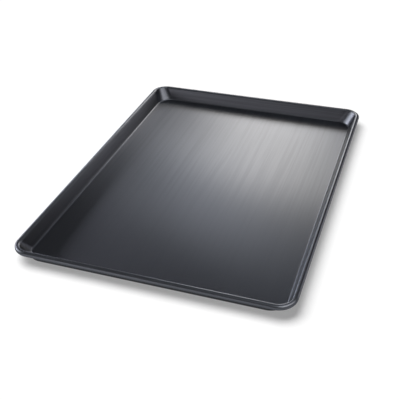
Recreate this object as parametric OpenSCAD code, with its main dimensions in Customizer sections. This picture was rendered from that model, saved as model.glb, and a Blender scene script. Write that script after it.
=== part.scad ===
// Jelly roll pan: a shallow rimmed baking pan drawn from one sheet of metal.
// The top edge is rolled outward and down round a steel wire, which makes the round rim.
// The origin is the centre of the underside, on the surface the pan rests on.
// +Z is up, +Y runs along the long sides and +X along the short ones.

/* [Pan] */
// Overall width, across the outside of the rim
pan_w = 330; // [150:1:450]
// Overall length, across the outside of the rim
pan_l = 457; // [200:1:660]
// Overall height, from the underside to the top of the rim
pan_h = 19; // [13:0.5:50]
// Radius of the corners at the outside of the rim
rim_corner_r = 22; // [10:0.5:40]
// Radius of the floor's corners, up to where the bend starts
floor_corner_r = 18.5; // [2:0.5:40]

/* [Sheet] */
// Thickness of the sheet
sheet_t = 0.8; // [0.5:0.1:1.5]
// How far the four sides lean outward from upright, in degrees
wall_slope = 19; // [5:1:35]
// Inside radius of the bend between the floor and the walls
bend_r = 2.5; // [1:0.5:5]

/* [Rim] */
// Diameter of the wire inside the rim
wire_d = 4.8; // [2.5:0.1:6]
// Clearance between the wire and the sheet rolled round it
wire_clearance = 0.1; // [0.08:0.01:0.3]
// Slit under the rim, between the sheet's rolled edge and the wall
rim_slit = 1; // [0.2:0.1:2]
// Gap between the two ends of the wire, where they meet at the middle of the back side
wire_end_gap = 1.5; // [0.5:0.5:10]

/* [Smoothness] */
// Steps round each corner of the sheet
corner_steps = 16; // [12:1:24]
// Steps across the bend of the sheet
bend_steps = 4; // [3:1:12]
// Steps in each quarter of the sheet's roll
roll_steps = 5; // [4:1:8]

/* [Hidden] */
$fn = 96;

// Radii of the bend's outside, and of the rolled edge inside and outside
bend_out_r = bend_r + sheet_t;
roll_in_r = wire_d / 2 + wire_clearance;
roll_out_r = roll_in_r + sheet_t;

// Heights of the centres of the bend and of the rim, and the rise from one to the other
bend_z = sheet_t + bend_r;
rim_z = pan_h - roll_out_r;
rim_rise = rim_z - bend_z;

// The wall's inner face touches the bend's circle on one side and the roll's on the other.
// This is how far the rim's centre then lies outside the bend's centre, along the sides.
side_reach = (bend_r + roll_out_r + rim_rise * sin(wall_slope)) / cos(wall_slope);

// The bend and the rim each go round the pan about corner centres of their own
rim_turn_r = rim_corner_r - roll_out_r;
rim_corner = [pan_w, pan_l] / 2 - rim_corner_r * [1, 1];
floor_corner = [pan_w, pan_l] / 2 - (roll_out_r + side_reach + floor_corner_r) * [1, 1];

// Direction at an angle
function towards(angle) = [cos(angle), sin(angle)];

// Reach from the bend's centre to the rim's, at an angle from 0 to 90 round a corner
function reach(angle) = (rim_corner - floor_corner) * towards(angle) + rim_turn_r - floor_corner_r;

// Slope of the wall at that angle, where it touches the circles of the bend and of the roll
function slope(angle) =
    acos((bend_r + roll_out_r) / norm([reach(angle), rim_rise])) - atan2(rim_rise, reach(angle));

// Angles spread evenly from one to another, without the first
function spread(from_angle, to_angle, steps) =
    [for (i = [1 : steps]) from_angle + (to_angle - from_angle) * i / steps];

// Angles of the bend's steps, from under its centre up to the wall
function bend_angles(lean) = concat([-90], spread(-90, -lean, bend_steps));

// Angles of the roll's steps, from the wall over the top and the outermost point to the free edge
function roll_angles(lean) =
    let (start = 180 - lean, end = start - 360 + acos((roll_in_r - rim_slit) / roll_out_r))
    concat(
        [start],
        spread(start, 90, roll_steps - 1),
        spread(90, 0, roll_steps),
        spread(0, end, roll_steps + 1)
    );

function reversed(list) = [for (i = [len(list) - 1 : -1 : 0]) list[i]];

// Points of an arc across the sheet, set upright round one of the four corners.
// The corner's centre and turning radius are given for the corner at +X +Y.
function arc_round(r, angles, centre, turn_r, centre_z, quarter, corner_angle) =
    let (
        side = [quarter == 0 || quarter == 3 ? 1 : -1, quarter < 2 ? 1 : -1],
        out = towards(90 * quarter + corner_angle)
    )
    [for (a = angles) [
        side.x * centre.x + (turn_r + r * cos(a)) * out.x,
        side.y * centre.y + (turn_r + r * cos(a)) * out.y,
        centre_z + r * sin(a)
    ]];

// One loop of points across the sheet: up the inside of the bend, round the outside of the roll,
// back round the inside of the roll and down the outside of the bend
function sheet_loop(quarter, corner_angle) =
    let (
        bend = bend_angles(slope(corner_angle)),
        roll = roll_angles(slope(corner_angle)),
        bend_arc = function (r, angles)
            arc_round(r, angles, floor_corner, floor_corner_r, bend_z, quarter, corner_angle),
        roll_arc = function (r, angles)
            arc_round(r, angles, rim_corner, rim_turn_r, rim_z, quarter, corner_angle)
    )
    concat(
        bend_arc(bend_r, bend),
        roll_arc(roll_out_r, roll),
        roll_arc(roll_in_r, reversed(roll)),
        bend_arc(bend_out_r, reversed(bend))
    );

// A skin of triangles over a closed row of loops with as many points each.
// The first points of the loops bound the flat top of the floor, and the last ones its underside.
module skin(loops) {
    size = len(loops[0]);
    last = len(loops) - 1;
    strips = [
        for (i = [0 : last], j = [0 : size - 2])
            let (a = i * size + j, b = (i == last ? 0 : i + 1) * size + j)
                each [[a, b, b + 1], [a, b + 1, a + 1]]
    ];
    floor_top = [for (i = [last : -1 : 0]) i * size];
    floor_under = [for (i = [0 : last]) i * size + size - 1];
    polyhedron(
        points = [for (loop = loops) each loop],
        faces = concat(strips, [floor_top, floor_under])
    );
}

// The drawn pan: floor, walls and rolled rim in one sheet
module pan_body() {
    color("#46484d")
        skin([
            for (quarter = [0 : 3], step = [0 : corner_steps])
                sheet_loop(quarter, 90 * step / corner_steps)
        ]);
}

// The wire hoop inside the rim, with its ends apart at the middle of the back side
module rim_wire() {
    color("#a9acb0")
        difference() {
            for (quarter = [0 : 3]) {
                across = quarter % 2 == 0 ? rim_corner : [rim_corner.y, rim_corner.x];
                rotate(90 * quarter)
                    translate([across.x, across.y, rim_z]) {
                        rotate_extrude(angle = 90)
                            translate([rim_turn_r, 0])
                                circle(d = wire_d);
                        translate([rim_turn_r, 0, 0])
                            rotate([90, 0, 0])
                                cylinder(h = 2 * across.y, d = wire_d);
                    }
            }
            translate([0, rim_corner.y + rim_turn_r, rim_z])
                cube([wire_end_gap, 2 * wire_d, 2 * wire_d], center = true);
        }
}

pan_body();
rim_wire();
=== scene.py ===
"""A jelly roll pan: a dark coated sheet with its edge rolled round a wire, on a pale studio table.

Lengths are in metres. The pan's own frame holds: +Z is up, +Y runs along the long sides, and the
origin is the centre of the underside.
"""

import math

import bpy
from mathutils import Matrix, Vector


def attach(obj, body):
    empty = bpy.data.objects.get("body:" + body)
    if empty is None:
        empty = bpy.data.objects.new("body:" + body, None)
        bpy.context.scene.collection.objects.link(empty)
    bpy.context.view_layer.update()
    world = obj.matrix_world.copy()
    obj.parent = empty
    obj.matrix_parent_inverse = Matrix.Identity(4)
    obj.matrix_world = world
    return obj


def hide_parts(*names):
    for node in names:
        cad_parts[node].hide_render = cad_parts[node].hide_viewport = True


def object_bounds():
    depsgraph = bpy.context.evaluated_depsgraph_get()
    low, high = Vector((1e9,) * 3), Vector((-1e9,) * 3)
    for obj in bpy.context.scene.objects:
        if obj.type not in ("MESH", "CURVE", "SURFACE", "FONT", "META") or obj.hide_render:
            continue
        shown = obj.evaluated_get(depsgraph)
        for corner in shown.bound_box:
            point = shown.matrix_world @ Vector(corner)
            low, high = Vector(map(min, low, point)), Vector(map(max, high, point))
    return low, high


bl_info = {
    "name": "Jelly roll pan",
    "version": (1, 0, 0),
    "blender": (4, 5, 0),
    "location": "3D View > Sidebar > Pan",
    "description": "Builds a rolled-rim baking pan, its finishes and a plain studio round it",
    "category": "Add Mesh",
}

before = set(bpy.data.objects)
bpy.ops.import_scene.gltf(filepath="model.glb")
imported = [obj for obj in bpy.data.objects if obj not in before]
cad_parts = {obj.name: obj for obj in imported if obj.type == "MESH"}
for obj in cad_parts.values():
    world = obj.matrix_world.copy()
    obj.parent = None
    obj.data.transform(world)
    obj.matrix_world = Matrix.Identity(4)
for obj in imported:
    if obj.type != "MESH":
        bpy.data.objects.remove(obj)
CAD_LOW, CAD_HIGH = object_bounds()

WHITE = (1.0, 1.0, 1.0)

# Half the table's width, and how far its top lies under the pan
TABLE_REACH = 6.0
TABLE_GAP = 0.0001

# Width of the camera's sensor in millimetres, and the nearest and farthest that it sees in metres
SENSOR = 36.0
CLIP = (0.01, 50.0)

# The numbers of the soft boxes and the pale walls come from a scratch program that fitted them to the
# photograph's brightness. They light the pan as it shows there, and aren't the studio's real lights.

# Soft boxes that the pan mirrors: name, azimuth from +Y towards +X and elevation in degrees, width,
# height, brightness, tint
SOFT_BOXES = [
    ("box behind", -5.7, 23.3, 0.280, 0.282, 5.68, (1.000, 0.934, 0.808)),
    ("box above", -18.0, 35.3, 0.232, 0.239, 2.30, (0.990, 0.990, 1.000)),
    ("box left", -78.5, 11.8, 0.919, 0.186, 6.49, (0.962, 0.921, 1.000)),
    ("box right", 114.9, 36.3, 0.749, 0.391, 2.81, (1.000, 0.961, 0.919)),
]

# Pale walls of the studio: name, azimuth and elevation in degrees, sharpness, brightness, tint
PALE_WALLS = [
    ("left wall", -93.4, 22.4, 19.7, 5.48, (0.981, 1.000, 0.994)),
    ("right wall", 121.1, 61.5, 6.8, 1.82, (0.989, 1.000, 0.994)),
    ("back wall", -14.0, 20.9, 172.5, 7.49, (0.917, 0.930, 1.000)),
    ("near wall", -152.4, 7.1, 42.2, 2.20, (1.000, 0.949, 0.944)),
    ("back left", -40.6, 10.1, 196.7, 9.07, (0.879, 0.941, 1.000)),
    ("back right", 34.4, 2.5, 76.3, 5.13, (1.000, 0.961, 0.970)),
    ("right back", 13.6, 54.6, 38.1, 0.74, (0.884, 0.900, 1.000)),
]


# Sizes, colours and light that a user would change


def length(name, description, default):
    """A size in metres."""
    return bpy.props.FloatProperty(
        name=name, description=description, default=default, unit="LENGTH", precision=5
    )


def angle(name, description, degrees):
    """An angle, given in degrees."""
    return bpy.props.FloatProperty(
        name=name, description=description, default=math.radians(degrees), unit="ROTATION"
    )


def number(name, description, default):
    """A number of 0 or more."""
    return bpy.props.FloatProperty(name=name, description=description, default=default, min=0.0)


def count(name, description, default):
    """A whole number of steps."""
    return bpy.props.IntProperty(name=name, description=description, default=default, min=2)


def colour(name, description, default):
    """A colour, as three shares of light."""
    return bpy.props.FloatVectorProperty(
        name=name, description=description, default=default, subtype="COLOR", min=0.0, max=1.0
    )


class PanSizes(bpy.types.PropertyGroup):
    width: length("Width", "Across the outside of the rim", CAD_HIGH.x - CAD_LOW.x)
    length: length("Length", "Across the outside of the rim", CAD_HIGH.y - CAD_LOW.y)
    height: length("Height", "From the underside to the top of the rim", CAD_HIGH.z - CAD_LOW.z)
    rim_corner: length("Rim corner radius", "At the outside of the rim", 0.022)
    floor_corner: length("Floor corner radius", "Up to where the bend starts", 0.0185)
    sheet: length("Sheet thickness", "Thickness of the sheet", 0.0008)
    slope: angle("Wall slope", "How far the sides lean outward from upright", 19)
    bend: length("Bend radius", "Inside radius between the floor and the walls", 0.0025)
    wire: length("Wire diameter", "The wire inside the rim", 0.0048)
    clearance: length("Wire clearance", "Between the wire and the sheet round it", 0.0001)
    slit: length("Rim slit", "Between the sheet's rolled edge and the wall", 0.001)
    corner_steps: count("Corner steps", "Steps round each corner", 40)
    bend_steps: count("Bend steps", "Steps across the bend", 10)
    roll_steps: count("Roll steps", "Steps in each quarter of the roll", 12)


class PanFinish(bpy.types.PropertyGroup):
    coating: colour("Coating", "Colour of the dark coating", (0.083, 0.088, 0.102))
    roughness: number("Roughness", "How dull the coating is", 0.317)
    metallic: number("Metallic", "Share of the coating that mirrors like metal", 0.929)
    grain_pull: number("Grain pull", "How far the grain stretches what is mirrored across it", 0.85)
    streaks_dark: number("Dark streaks", "Share of the coating's colour in the dark streaks", 0.9)
    streaks_pale: number("Pale streaks", "Share of the coating's colour in the pale streaks", 1.12)
    edge_tint: colour(
        "Edge tint", "What the floor and walls mirror at a grazing angle", (0.72, 0.72, 0.72)
    )
    rim_tint: colour(
        "Rim tint", "What the rim and corners mirror at a grazing angle", (0.45, 0.45, 0.45)
    )
    drawn_roughness: number("Drawn roughness", "How dull the corners and the rim are", 0.277)
    worn: colour("Worn coating", "Colour of the coating where it is rubbed", (0.2, 0.2, 0.21))
    zinc: colour("Zinc", "Colour of the wire's zinc", (0.55, 0.56, 0.57))


class StageSettings(bpy.types.PropertyGroup):
    table: colour("Table", "Colour of the table", (0.69, 0.69, 0.69))
    table_glow: number("Table glow", "Light of the table itself, as a lit sheet has", 0.31)
    daylight: number("Daylight", "Brightness of the light from above", 3.6)
    daylight_width: angle("Daylight width", "Angle across the light from above", 55)
    daylight_left: angle("Daylight left", "Lean of that light to the left", 22.5)
    daylight_back: angle("Daylight back", "Lean of that light to the back", 4)
    box_distance: length("Box distance", "From the origin to each soft box", 0.7)
    horizon: number("Horizon", "Brightness of the backdrop at table height", 1.51)
    horizon_height: number("Horizon height", "Sine of the angle where the backdrop fades", 0.033)
    azimuth: angle("Camera azimuth", "Round the pan, from behind its front side", 19.94)
    elevation: angle("Camera elevation", "Above the horizon", 34.189)
    roll: angle("Camera roll", "Turn of the camera about its line of sight", -1.65)
    distance: length("Camera distance", "From the point that it looks at", 0.8934)
    aim: bpy.props.FloatVectorProperty(
        name="Camera aim", description="The point that the camera looks at",
        default=(0.00168, -0.04395, 0.0), subtype="XYZ", unit="LENGTH",
    )
    lens: bpy.props.FloatProperty(
        name="Lens", description="Focal length on a 36 mm sensor, in millimetres", default=62.71
    )


# Shader graphs


class Signal:
    """An output in a node tree. Maths on it adds Math nodes."""

    def __init__(self, graph, socket):
        self.graph, self.socket = graph, socket

    def math(self, operation, *others):
        return self.graph.node(
            "ShaderNodeMath", {"operation": operation}, dict(enumerate((self, *others)))
        )

    def __add__(self, other):
        return self.math("ADD", other)

    __radd__ = __add__

    def __mul__(self, other):
        return self.math("MULTIPLY", other)

    __rmul__ = __mul__

    def __sub__(self, other):
        return self.math("SUBTRACT", other)

    def __rsub__(self, other):
        return self.graph.node("ShaderNodeMath", {"operation": "SUBTRACT"}, {0: other, 1: self})


class Graph:
    """The nodes of one material or world."""

    def __init__(self, tree):
        self.tree = tree
        tree.nodes.clear()

    def node(self, kind, settings=None, inputs=None, output=0):
        """Adds a node: first its settings, then the values or links of its sockets."""
        made = self.tree.nodes.new(kind)
        for name, value in (settings or {}).items():
            setattr(made, name, value)
        for name, value in (inputs or {}).items():
            if isinstance(value, Signal):
                self.tree.links.new(value.socket, made.inputs[name])
            else:
                made.inputs[name].default_value = value
        return Signal(self, made.outputs[output]) if made.outputs else None

    def parts(self, vector):
        """The three parts of a vector."""
        made = self.node("ShaderNodeSeparateXYZ", inputs={0: vector}).socket.node
        return [Signal(self, socket) for socket in made.outputs]

    def mix(self, share, first, second):
        """Mixes two colours by a share from 0 to 1."""
        return self.node(
            "ShaderNodeMix",
            {"data_type": "RGBA"},
            {0: share, 6: solid(first), 7: solid(second)},
            output=2,
        )

    def step(self, value, start, end):
        """A smooth step from 0 to 1 between two values."""
        return self.node(
            "ShaderNodeMapRange", {"interpolation_type": "SMOOTHSTEP"}, {0: value, 1: start, 2: end}
        )

    def tinted(self, strength, tint):
        """A tint as bright as a strength says."""
        return self.node("ShaderNodeVectorMath", {"operation": "SCALE"}, {0: tint, "Scale": strength})

    def noise(self, place, scale, detail, roughness):
        """Smooth noise from 0 to 1 at a place, stretched by its scale along each axis."""
        stretched = self.node(
            "ShaderNodeVectorMath", {"operation": "MULTIPLY"}, {0: place, 1: scale}
        )
        return self.node(
            "ShaderNodeTexNoise",
            inputs={"Vector": stretched, "Scale": 1.0, "Detail": detail, "Roughness": roughness},
        )


def solid(shade):
    """A colour with its fourth number, or the link that brings it."""
    return shade if isinstance(shade, Signal) else (*shade, 1.0)


def material(name):
    """A new material and its graph."""
    made = bpy.data.materials.new(name)
    made.use_nodes = True
    return made, Graph(made.node_tree)


def link(name, data):
    """A new object in the scene."""
    made = bpy.data.objects.new(name, data)
    bpy.context.scene.collection.objects.link(made)
    return made


# The sheet's shape

# The roll's last part, under the rim, is longer than a quarter and takes this many steps more
EXTRA_STEPS = 2

# The gloss stretches in rings round this place along the pan, so far off that they run straight
GRAIN_CENTRE = 1000.0


def towards(turn):
    """A flat vector of length 1 at a turn from +X."""
    return Vector((math.cos(turn), math.sin(turn)))


def spread(first, last, steps):
    """Angles spread evenly from one to another, without the first."""
    return [first + (last - first) * i / steps for i in range(1, steps + 1)]


def roll_radii(sizes):
    """The rolled edge's radii, inside and outside."""
    inside = sizes.wire / 2 + sizes.clearance
    return inside, inside + sizes.sheet


def wall_reach(sizes, rise, roll_out):
    """How far the rim's centre lies outside the bend's centre, along the sides."""
    return (sizes.bend + roll_out + rise * math.sin(sizes.slope)) / math.cos(sizes.slope)


def section(sizes, turn):
    """The bend's and the roll's angles across the sheet, at a turn round a corner."""
    roll_in, roll_out = roll_radii(sizes)
    rise = sizes.height - roll_out - sizes.sheet - sizes.bend
    rim_turn = sizes.rim_corner - roll_out
    shift = sizes.floor_corner + wall_reach(sizes, rise, roll_out) - rim_turn
    reach = rim_turn - sizes.floor_corner + shift * (math.cos(turn) + math.sin(turn))
    lean = math.acos((sizes.bend + roll_out) / math.hypot(reach, rise)) - math.atan2(rise, reach)
    start = math.pi - lean
    end = start - 2 * math.pi + math.acos((roll_in - sizes.slit) / roll_out)
    bend = [-math.pi / 2] + spread(-math.pi / 2, -lean, sizes.bend_steps)
    roll = [
        start,
        *spread(start, math.pi / 2, sizes.roll_steps),
        *spread(math.pi / 2, 0.0, sizes.roll_steps),
        *spread(0.0, end, sizes.roll_steps + EXTRA_STEPS),
    ]
    return bend, roll, shift


def sheet_loops(sizes):
    """Loops of (place, normal) across the sheet, for each step round its four corners."""
    roll_in, roll_out = roll_radii(sizes)
    rim = Vector((sizes.width, sizes.length)) / 2 - Vector((1, 1)) * sizes.rim_corner
    loops = []
    for quarter in range(4):
        side = Vector((1 if quarter in (0, 3) else -1, 1 if quarter < 2 else -1))
        for step in range(sizes.corner_steps + 1):
            turn = math.pi / 2 * step / sizes.corner_steps
            bend, roll, shift = section(sizes, turn)
            out = towards(math.pi / 2 * quarter + turn)
            bend_place = (rim - Vector((1, 1)) * shift, sizes.floor_corner, sizes.sheet + sizes.bend)
            roll_place = (rim, sizes.rim_corner - roll_out, sizes.height - roll_out)
            loop = []
            for (centre, turn_r, up), radius, angles, facing in (
                (bend_place, sizes.bend, bend, -1),
                (roll_place, roll_out, roll, 1),
                (roll_place, roll_in, reversed(roll), -1),
                (bend_place, sizes.bend + sizes.sheet, reversed(bend), 1),
            ):
                for a in angles:
                    flat = centre * side + out * (turn_r + radius * math.cos(a))
                    normal = Vector((*(out * math.cos(a)), math.sin(a))) * facing
                    loop.append((Vector((*flat, up + radius * math.sin(a))), normal))
            loops.append(loop)
    return loops


def sheet_object(sizes, name):
    """The sheet as one closed mesh with the true normals of its bends."""
    loops = sheet_loops(sizes)
    size, rounds = len(loops[0]), len(loops)
    # Each loop turns back at its middle, where the sheet's free edge is square
    free_edge = size // 2 - 1
    faces, normals = [], []
    for i in range(rounds):
        for j in range(size - 1):
            corners = [(i, j), (i, j + 1), ((i + 1) % rounds, j + 1), ((i + 1) % rounds, j)]
            places = [loops[a][b][0] for a, b in corners]
            faces.append([a * size + b for a, b in corners])
            if j == free_edge:
                flat = (places[1] - places[0]).cross(places[3] - places[0]).normalized()
                normals += [flat] * len(corners)
            else:
                normals += [loops[a][b][1] for a, b in corners]
    # The floor's flat top and its underside
    faces.append([i * size for i in range(rounds)])
    normals += [Vector((0, 0, 1))] * rounds
    faces.append([i * size + size - 1 for i in reversed(range(rounds))])
    normals += [Vector((0, 0, -1))] * rounds
    mesh = bpy.data.meshes.new(name)
    mesh.from_pydata([place for loop in loops for place, _ in loop], [], faces)
    mesh.validate()
    mesh.shade_smooth()
    mesh.normals_split_custom_set(normals)
    mesh.use_auto_texspace = False
    mesh.texspace_location, mesh.texspace_size = (0.0, GRAIN_CENTRE, 0.0), (1.0, 1.0, 1.0)
    mesh.update()
    return link(name, mesh)


# Finishes

# Width over which the rim's finish starts
RIM_FADE = 0.0005

# How far short of the rim's corner centres the corners' finish starts and is full
CORNER_FADE = (0.009, 0.001)

# Places along the pan between which the streaks gain strength, and their strength at the front. The
# streaks are grain, but their fading towards the front is painted sheen: they are shown strongest at
# the back, where the pan mirrors its brightest light
STREAK_SHEEN_FADE = (-0.1, 0.06)
FRONT_STREAKS_WITHOUT_SHEEN = 0.2

# How level the surface is, from 0 upright to 1 flat: where the smooth finish starts in the bend and
# ends at the floor, and where the floor's grain and the rubbed spots on top of the rim start
BEND_LEVELS = (0.36, 0.42)
FLOOR_LEVELS = (0.985, 0.999)
GRAIN_LEVELS = (0.95, 0.99)
RIM_TOP_LEVELS = (0.8, 0.97)

# How far a wall faces along the pan where it starts to be, and is, an end wall
END_WALL_LEVELS = (0.5, 0.8)

# Textures: waves per metre across the pan, along it and up, then detail, then the noise's roughness
BROAD_STREAKS = ((250.0, 4.5, 250.0), 3.0, 0.66)
FINE_STREAKS = ((900.0, 16.0, 900.0), 2.0, 0.5)
END_STREAKS = ((7.0, 300.0, 700.0), 2.0, 0.5)
SPECKS = ((1300.0, 450.0, 1300.0), 2.0, 0.5)
GRAIN = ((2600.0, 9.0, 2600.0), 3.0, 0.6)
RUBBED_SPOTS = ((700.0, 700.0, 700.0), 4.0, 0.7)
ZINC_CLOUDS = ((300.0, 300.0, 300.0), 3.0, 0.5)

# Values of the noise between which a streak or a rubbed spot comes in
BROAD_LEVELS = (0.34, 0.62)
END_STREAK_LEVELS = (0.3, 0.7)
SPOT_LEVELS = (0.56, 0.72)

# Share of the fine streaks next to the broad ones, and strength of the specks over both
FINE_SHARE = 0.4
SPECK_STRENGTH = 0.35

# Strength of the grain's relief, and its depth in metres
GRAIN_STRENGTH = 0.15
GRAIN_DEPTH = 0.00003

# How much of its colour the coating loses in a rubbed spot on top of the rim
WORN_SHARE = 0.35

# How much duller the fine streaks and the rubbed spots are, and the clouds in the zinc
STREAK_ROUGHNESS = 0.06
SPOT_ROUGHNESS = 0.08
CLOUD_ROUGHNESS = 0.2

# The zinc between its clouds: share of its colour, and how dull it is
ZINC_SHADE = 0.85
ZINC_ROUGHNESS = 0.25


def rim_area(graph, sizes, across, along):
    """1 on the rolled rim and 0 inside it."""
    bead = 2 * roll_radii(sizes)[1]
    beyond = (across - (sizes.width / 2 - bead)).math("MAXIMUM", along - (sizes.length / 2 - bead))
    return graph.step(beyond, 0.0, RIM_FADE)


def corner_area(graph, sizes, across, along):
    """1 in the four corners, fading out where the straight walls start."""
    corner_x, corner_y = sizes.width / 2 - sizes.rim_corner, sizes.length / 2 - sizes.rim_corner
    far, near = CORNER_FADE
    return graph.step(across, corner_x - far, corner_x - near) * graph.step(
        along, corner_y - far, corner_y - near
    )


def rolling_streaks_and_sheen(graph, place, fine, ends):
    """Streaks along the pan, or along its end walls, with specks over them. Around 0.5."""
    broad = graph.step(graph.noise(place, *BROAD_STREAKS), *BROAD_LEVELS)
    on_ends = graph.step(graph.noise(place, *END_STREAKS), *END_STREAK_LEVELS)
    _, depth, _ = graph.parts(place)
    # Painted sheen: the grain's streaks are strong at the back, where the pan mirrors its brightest
    # light, and faint at the front
    strength = graph.step(depth, *STREAK_SHEEN_FADE) * (1.0 - FRONT_STREAKS_WITHOUT_SHEEN) + FRONT_STREAKS_WITHOUT_SHEEN
    lengthwise = (broad * (1.0 - FINE_SHARE) + fine * FINE_SHARE - 0.5) * strength + 0.5
    specks = (graph.noise(place, *SPECKS) - 0.5) * SPECK_STRENGTH
    return lengthwise * (1.0 - ends) + on_ends * ends + specks


def coated_sheet(sizes, finish):
    """Dark coating on rolled sheet: brushed along the length, smoother in the corners and the rim."""
    made, graph = material("coated_sheet")
    place = graph.node("ShaderNodeTexCoord", output="Object")
    facing = graph.node("ShaderNodeTexCoord", output="Normal")
    x, y, _ = graph.parts(place)
    across, along = x.math("ABSOLUTE"), y.math("ABSOLUTE")
    _, endwise, level = graph.parts(facing)
    endwise, level = endwise.math("ABSOLUTE"), level.math("ABSOLUTE")
    rim = rim_area(graph, sizes, across, along)
    drawn = rim.math("MAXIMUM", corner_area(graph, sizes, across, along))
    drawn = drawn.math("MAXIMUM", graph.step(level, *BEND_LEVELS))
    drawn = drawn * (1.0 - graph.step(level, *FLOOR_LEVELS))
    fine = graph.noise(place, *FINE_STREAKS)
    streaks = rolling_streaks_and_sheen(graph, place, fine, graph.step(endwise, *END_WALL_LEVELS))
    shade = graph.mix(
        streaks,
        [c * finish.streaks_dark for c in finish.coating],
        [c * finish.streaks_pale for c in finish.coating],
    )
    spots = graph.step(graph.noise(place, *RUBBED_SPOTS), *SPOT_LEVELS)
    worn = spots * rim * graph.step(level, *RIM_TOP_LEVELS) * WORN_SHARE
    grain = graph.noise(place, *GRAIN) * graph.step(level, *GRAIN_LEVELS)
    relief = {"Strength": GRAIN_STRENGTH, "Distance": GRAIN_DEPTH, "Height": grain}
    coating = {"Base Color": graph.mix(worn, shade, finish.worn), "Metallic": finish.metallic}
    brushed = graph.node(
        "ShaderNodeBsdfPrincipled",
        inputs={
            **coating,
            "Specular Tint": solid(finish.edge_tint),
            "Roughness": fine * STREAK_ROUGHNESS + (finish.roughness - STREAK_ROUGHNESS / 2),
            "Anisotropic": finish.grain_pull,
            "Normal": graph.node("ShaderNodeBump", inputs=relief),
        },
    )
    smooth = graph.node(
        "ShaderNodeBsdfPrincipled",
        inputs={
            **coating,
            "Specular Tint": solid(finish.rim_tint),
            "Roughness": spots * SPOT_ROUGHNESS + finish.drawn_roughness,
        },
    )
    surface = graph.node("ShaderNodeMixShader", inputs={0: drawn, 1: brushed, 2: smooth})
    graph.node("ShaderNodeOutputMaterial", inputs={"Surface": surface})
    return made


def zinc_wire(finish):
    """Drawn wire with a dull zinc skin."""
    made, graph = material("zinc_wire")
    place = graph.node("ShaderNodeTexCoord", output="Object")
    clouds = graph.noise(place, *ZINC_CLOUDS)
    surface = graph.node(
        "ShaderNodeBsdfPrincipled",
        inputs={
            "Base Color": graph.mix(clouds, [c * ZINC_SHADE for c in finish.zinc], finish.zinc),
            "Metallic": 1.0,
            "Roughness": clouds * CLOUD_ROUGHNESS + ZINC_ROUGHNESS,
        },
    )
    graph.node("ShaderNodeOutputMaterial", inputs={"Surface": surface})
    return made


def table_top(stage):
    """A pale table top, lit from above and through itself."""
    made, graph = material("table")
    lit = graph.node("ShaderNodeBsdfDiffuse", inputs={"Color": solid(stage.table)})
    glow = graph.node("ShaderNodeEmission", inputs={"Strength": stage.table_glow})
    surface = graph.node("ShaderNodeAddShader", inputs={0: lit, 1: glow})
    graph.node("ShaderNodeOutputMaterial", inputs={"Surface": surface})
    return made


def direction(azimuth, elevation):
    """Direction at an azimuth from +Y towards +X and an elevation, both in degrees."""
    a, e = math.radians(azimuth), math.radians(elevation)
    return Vector((math.sin(a) * math.cos(e), math.cos(a) * math.cos(e), math.sin(e)))


def studio_light(graph, stage):
    """What the pan mirrors all round: a backdrop that is white at table height, and pale walls."""
    place = graph.node("ShaderNodeTexCoord", output="Generated")
    _, _, height = graph.parts(place)
    rise = height * (1.0 / stage.horizon_height)
    total = graph.tinted((0.0 - rise * rise).math("EXPONENT") * stage.horizon, WHITE)
    for _, azimuth, elevation, sharpness, strength, tint in PALE_WALLS:
        near = graph.node(
            "ShaderNodeVectorMath", {"operation": "DOT_PRODUCT"},
            {0: place, 1: direction(azimuth, elevation)}, output="Value",
        )
        glow = ((near - 1.0) * sharpness).math("EXPONENT") * strength
        total = graph.node(
            "ShaderNodeVectorMath", {"operation": "ADD"}, {0: total, 1: graph.tinted(glow, tint)}
        )
    return total


def place_lamp(lamp, at, distance):
    """Puts a lamp in a direction from the origin and turns it to face the origin."""
    lamp.location = at * distance
    lamp.rotation_euler = at.to_track_quat("Z", "Y").to_euler()


def table_object(stage):
    """The table's top, a hair under the pan."""
    mesh = bpy.data.meshes.new("table")
    reach = TABLE_REACH
    corners = [(-reach, -reach, 0), (reach, -reach, 0), (reach, reach, 0), (-reach, reach, 0)]
    mesh.from_pydata(corners, [], [(0, 1, 2, 3)])
    mesh.materials.append(table_top(stage))
    table = link("table", mesh)
    table.location.z = -TABLE_GAP
    return table


def studio_world(stage):
    """White to the camera, the studio's walls to what mirrors them, and dark to all else."""
    world = bpy.data.worlds.new("studio")
    bpy.context.scene.world = world
    world.use_nodes = True
    world.cycles.sampling_method = "NONE"
    graph = Graph(world.node_tree)
    path = graph.node("ShaderNodeLightPath").socket.node.outputs
    mirrored = graph.node("ShaderNodeBackground", inputs={"Color": studio_light(graph, stage)})
    dark = graph.node("ShaderNodeBackground", inputs={"Strength": 0.0})
    white = graph.node("ShaderNodeBackground", inputs={"Color": solid(WHITE)})
    glossy, seen = Signal(graph, path["Is Glossy Ray"]), Signal(graph, path["Is Camera Ray"])
    light = graph.node("ShaderNodeMixShader", inputs={0: glossy, 1: dark, 2: mirrored})
    light = graph.node("ShaderNodeMixShader", inputs={0: seen, 1: light, 2: white})
    graph.node("ShaderNodeOutputWorld", inputs={"Surface": light})


def soft_box_object(stage, name, azimuth, elevation, width, height, strength, tint):
    """A soft box that only what mirrors it can see."""
    lamp = bpy.data.lights.new(name, "AREA")
    lamp.shape, lamp.size, lamp.size_y, lamp.color = "RECTANGLE", width, height, tint
    lamp.energy = strength * math.pi * width * height
    box = link(name, lamp)
    place_lamp(box, direction(azimuth, elevation), stage.box_distance)
    box.visible_camera = box.visible_diffuse = False


def daylight_object(stage):
    """The broad light from above that makes the pan's soft shadow."""
    lamp = bpy.data.lights.new("daylight", "SUN")
    lamp.angle, lamp.energy = stage.daylight_width, stage.daylight
    above = link("daylight", lamp)
    lean = Vector((-math.tan(stage.daylight_left), math.tan(stage.daylight_back), 1.0))
    place_lamp(above, lean.normalized(), 1.0)
    above.visible_camera = above.visible_glossy = False


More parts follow.
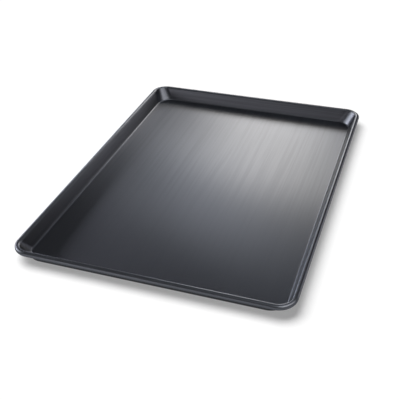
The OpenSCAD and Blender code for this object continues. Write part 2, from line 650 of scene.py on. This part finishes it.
def camera_object(stage):
    """The camera, by its azimuth, elevation, roll and distance from the point it looks at."""
    azimuth, elevation = stage.azimuth, stage.elevation
    back = Vector((
        math.sin(azimuth) * math.cos(elevation),
        -math.cos(azimuth) * math.cos(elevation),
        math.sin(elevation),
    ))
    level = Vector((math.cos(azimuth), math.sin(azimuth), 0.0))
    right = level * math.cos(stage.roll) + back.cross(level) * math.sin(stage.roll)
    lens = bpy.data.cameras.new("camera")
    lens.lens, lens.sensor_width = stage.lens, SENSOR
    lens.clip_start, lens.clip_end = CLIP
    camera = link("camera", lens)
    turned = Matrix((right, back.cross(right), back)).transposed()
    place = Matrix.Translation(Vector(stage.aim) + back * stage.distance)
    camera.matrix_world = place @ turned.to_4x4()
    return camera


# Operators and panel


class PAN_OT_sheet(bpy.types.Operator):
    """Builds the drawn sheet with its rolled rim, in place of the plain solid"""

    bl_idname = "pan.sheet"
    bl_label = "Coated sheet"

    def execute(self, context):
        made = sheet_object(context.scene.pan_sizes, "coated_pan")
        made.data.materials.append(
            coated_sheet(context.scene.pan_sizes, context.scene.pan_finish)
        )
        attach(made, "root")
        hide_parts("pan_body")
        return {"FINISHED"}


class PAN_OT_wire(bpy.types.Operator):
    """Gives the rim's wire its finish"""

    bl_idname = "pan.wire"
    bl_label = "Rim wire"

    def execute(self, context):
        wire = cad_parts["rim_wire"]
        wire.data.materials.clear()
        wire.data.materials.append(zinc_wire(context.scene.pan_finish))
        return {"FINISHED"}


class PAN_OT_stage(bpy.types.Operator):
    """Sets up the table, the soft light and the camera"""

    bl_idname = "pan.stage"
    bl_label = "Studio"

    def execute(self, context):
        stage = context.scene.pan_stage
        table = table_object(stage)
        studio_world(stage)
        for soft_box in SOFT_BOXES:
            soft_box_object(stage, *soft_box)
        daylight_object(stage)
        context.scene.camera = camera_object(stage)
        context.scene.view_settings.view_transform = "Standard"
        return {"FINISHED"}


class PAN_PT_build(bpy.types.Panel):
    """Lists the sizes, the finishes, the studio's settings and the steps that build the pan"""

    bl_label = "Jelly roll pan"
    bl_idname = "PAN_PT_build"
    bl_space_type = "VIEW_3D"
    bl_region_type = "UI"
    bl_category = "Pan"

    def draw(self, context):
        for group in (context.scene.pan_sizes, context.scene.pan_finish, context.scene.pan_stage):
            box = self.layout.box()
            for name in group.__annotations__:
                box.prop(group, name)
        for operator in (PAN_OT_sheet, PAN_OT_wire, PAN_OT_stage):
            self.layout.operator(operator.bl_idname)


CLASSES = (
    PanSizes, PanFinish, StageSettings, PAN_OT_sheet, PAN_OT_wire, PAN_OT_stage, PAN_PT_build,
)


def register():
    for made in CLASSES:
        bpy.utils.register_class(made)
    bpy.types.Scene.pan_sizes = bpy.props.PointerProperty(type=PanSizes)
    bpy.types.Scene.pan_finish = bpy.props.PointerProperty(type=PanFinish)
    bpy.types.Scene.pan_stage = bpy.props.PointerProperty(type=StageSettings)


def unregister():
    del bpy.types.Scene.pan_stage, bpy.types.Scene.pan_finish, bpy.types.Scene.pan_sizes
    for made in reversed(CLASSES):
        bpy.utils.unregister_class(made)


def main():
    register()
    bpy.ops.pan.sheet()
    bpy.ops.pan.wire()
    bpy.ops.pan.stage()


if __name__ == "__main__":
    main()
